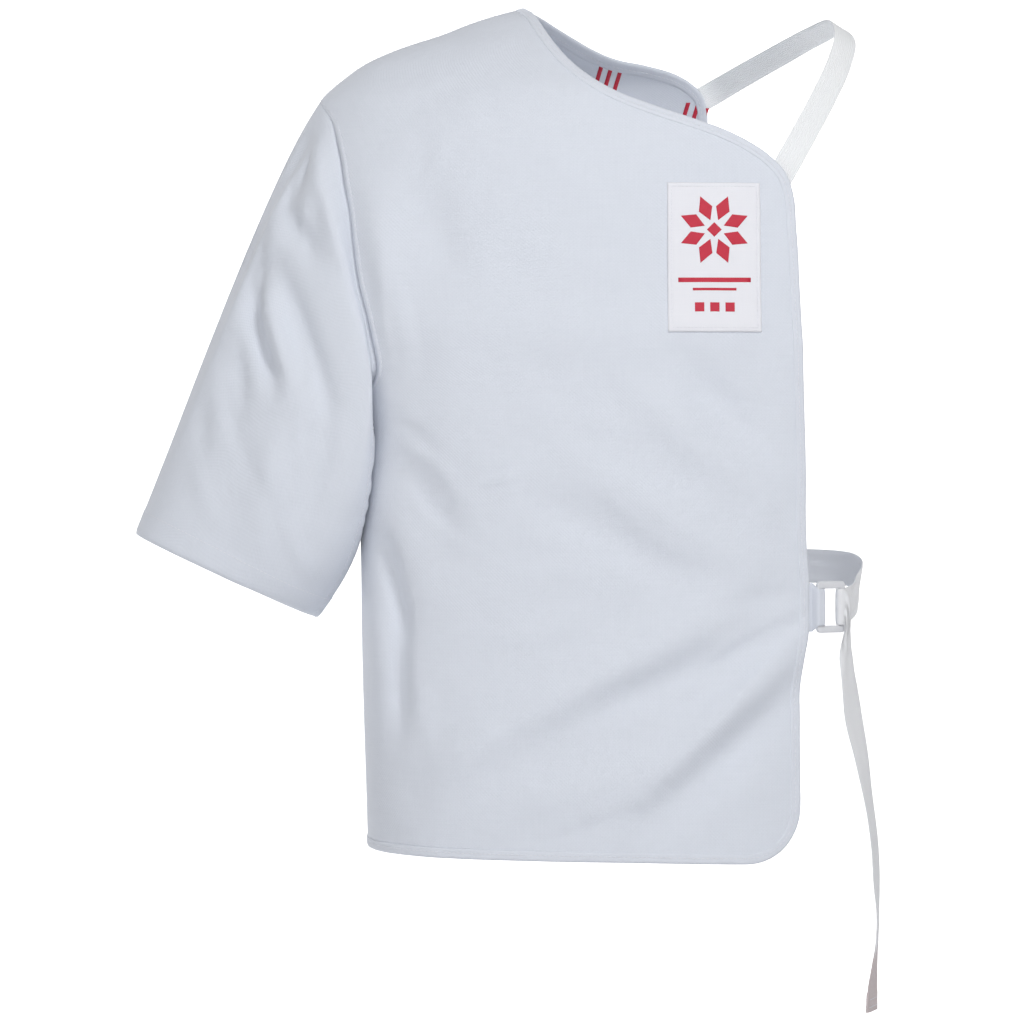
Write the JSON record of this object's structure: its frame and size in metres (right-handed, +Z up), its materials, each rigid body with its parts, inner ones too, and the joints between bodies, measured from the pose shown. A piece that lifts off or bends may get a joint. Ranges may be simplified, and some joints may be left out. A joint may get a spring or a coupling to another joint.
{
  "type": "fencing underplastron",
  "caption": "Half jacket of white protective cloth with one short sleeve, a diagonal neckline, a shoulder strap and a buckled waist strap, worn and hollow.",
  "frame": {"origin": "under the wall of the shoulder seam, half way from the neck to the sleeve, where the wearer's right shoulder carries the garment", "axes": "+Z up along the body, +Y to the wearer's back, +X to the wearer's left, the open side"},
  "size_m": [0.5274, 0.2494, 0.7088],
  "materials": {
    "cloth": "dense white protective cloth, matte, fine plain weave",
    "binding": "folded white edge tape with one line of stitching",
    "patch": null,
    "elastic": "ribbed white elastic",
    "webbing": "white herringbone webbing",
    "plastic": "moulded white plastic, slightly worn"
  },
  "bodies": {
    "root": {"front_panel": "cloth", "back_panel": "cloth", "sleeve": "cloth", "front_binding": "binding", "back_binding": "binding", "label_patch": "patch", "shoulder_strap": "elastic", "waist_strap": "webbing", "buckle_tab": "webbing", "buckle_frame": "plastic"}
  },
  "joints": []
}
